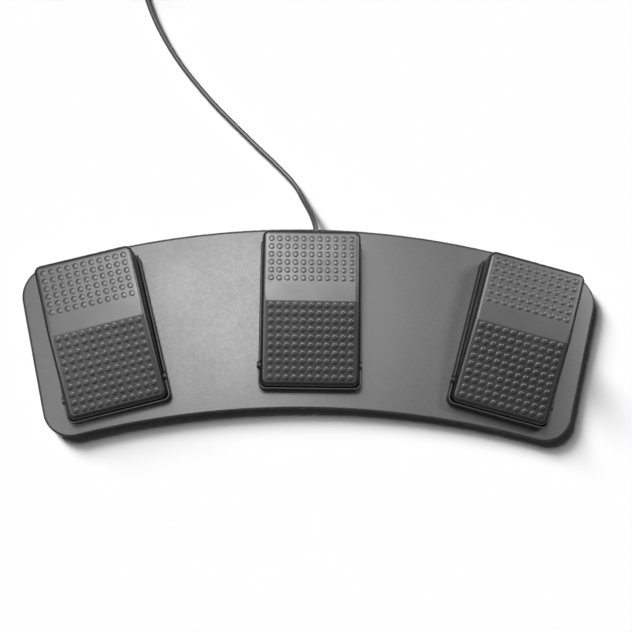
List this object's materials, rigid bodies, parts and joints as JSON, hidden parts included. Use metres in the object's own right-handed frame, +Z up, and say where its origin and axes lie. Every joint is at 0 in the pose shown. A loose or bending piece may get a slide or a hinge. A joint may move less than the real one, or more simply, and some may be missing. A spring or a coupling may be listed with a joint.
{
  "type": "foot pedal",
  "caption": "USB foot switch: hinged, domed treadles fanned out on a curved steel plate, each with its own tray, spring and snap switch, and a cable with a plug.",
  "frame": {"origin": "on the floor, at the middle of the plate's outline seen from above, with the free cable, its coil and its plug left out", "axes": "+X along the row of treadles to the right, +Y towards the toe ends, where the cable leaves, +Z up"},
  "size_m": [0.3864, 0.3945, 0.0323],
  "materials": {
    "plate": "satin",
    "housing": "satin",
    "cover": "satin",
    "rubber": "matte",
    "steel": "satin",
    "pin": "satin",
    "switch": "matte",
    "plunger": "satin",
    "brass": "satin",
    "board": "satin",
    "chip": "matte",
    "socket": "matte",
    "cable": "satin",
    "clip": "matte",
    "plug": "satin",
    "shell": "polished"
  },
  "bodies": {
    "stand": {"base_plate": "plate", "rubber_feet": "rubber", "housing_screws": "steel", "left_base": "housing", "centre_base": "housing", "right_base": "housing", "left_hinge_pin": "pin", "centre_hinge_pin": "pin", "right_hinge_pin": "pin", "left_spring": "steel", "centre_spring": "steel", "right_spring": "steel", "left_switch_body": "switch", "centre_switch_body": "switch", "right_switch_body": "switch", "switch_terminals": "brass", "switch_screws": "steel", "stop_pads": "rubber", "circuit_board": "board", "board_chip": "chip", "board_sockets": "socket", "board_screws": "steel", "left_lead": "cable", "centre_lead": "cable", "right_lead": "cable", "lead_clips": "clip", "lead_grommets": "rubber", "strain_relief": "rubber", "usb_cable": "cable", "cable_coil": "cable", "plug_grip": "plug", "plug_shell": "shell"},
    "left_treadle": {"left_cover": "cover"},
    "left_lever": {"left_switch_lever": "steel"},
    "left_plunger": {"left_switch_plunger": "plunger"},
    "centre_treadle": {"centre_cover": "cover"},
    "centre_lever": {"centre_switch_lever": "steel"},
    "centre_plunger": {"centre_switch_plunger": "plunger"},
    "right_treadle": {"right_cover": "cover"},
    "right_lever": {"right_switch_lever": "steel"},
    "right_plunger": {"right_switch_plunger": "plunger"}
  },
  "joints": [
    {"name": "left_press", "type": "hinge", "parent": "stand", "child": "left_treadle", "pos_m": [-0.121, -0.03874, 0.013], "axis": [-0.9659, -0.2588, 0], "range_deg": [0, 4], "stiffness_Nm_per_rad": 2, "springref_deg": -4.58, "deforming": ["left_spring"]},
    {"name": "left_lever_turn", "type": "hinge", "parent": "stand", "child": "left_lever", "pos_m": [-0.11607, 0.00161, 0.02265], "axis": [-0.9659, -0.2588, 0], "range_deg": [0, 14.8]},
    {"name": "left_plunger_slide", "type": "slide", "parent": "stand", "child": "left_plunger", "axis": [0, 0, -1], "range_m": [0, 0.0013]},
    {"name": "centre_press", "type": "hinge", "parent": "stand", "child": "centre_treadle", "pos_m": [0, -0.02281, 0.013], "axis": [-1, 0, 0], "range_deg": [0, 4], "stiffness_Nm_per_rad": 2, "springref_deg": -4.58, "deforming": ["centre_spring"]},
    {"name": "centre_lever_turn", "type": "hinge", "parent": "stand", "child": "centre_lever", "pos_m": [0.0152, 0.01489, 0.02265], "axis": [-1, 0, 0], "range_deg": [0, 14.8]},
    {"name": "centre_plunger_slide", "type": "slide", "parent": "stand", "child": "centre_plunger", "axis": [0, 0, -1], "range_m": [0, 0.0013]},
    {"name": "right_press", "type": "hinge", "parent": "stand", "child": "right_treadle", "pos_m": [0.121, -0.03874, 0.013], "axis": [-0.9659, 0.2588, 0], "range_deg": [0, 4], "stiffness_Nm_per_rad": 2, "springref_deg": -4.58, "deforming": ["right_spring"]},
    {"name": "right_lever_turn", "type": "hinge", "parent": "stand", "child": "right_lever", "pos_m": [0.14544, -0.00626, 0.02265], "axis": [-0.9659, 0.2588, 0], "range_deg": [0, 14.8]},
    {"name": "right_plunger_slide", "type": "slide", "parent": "stand", "child": "right_plunger", "axis": [0, 0, -1], "range_m": [0, 0.0013]}
  ],
  "couplings": [
    {"joint": "left_lever_turn", "follows": "left_press", "ratio": 3.65},
    {"joint": "left_plunger_slide", "follows": "left_press", "m_per_rad": 0.0172},
    {"joint": "centre_lever_turn", "follows": "centre_press", "ratio": 3.65},
    {"joint": "centre_plunger_slide", "follows": "centre_press", "m_per_rad": 0.0172},
    {"joint": "right_lever_turn", "follows": "right_press", "ratio": 3.65},
    {"joint": "right_plunger_slide", "follows": "right_press", "m_per_rad": 0.0172}
  ]
}
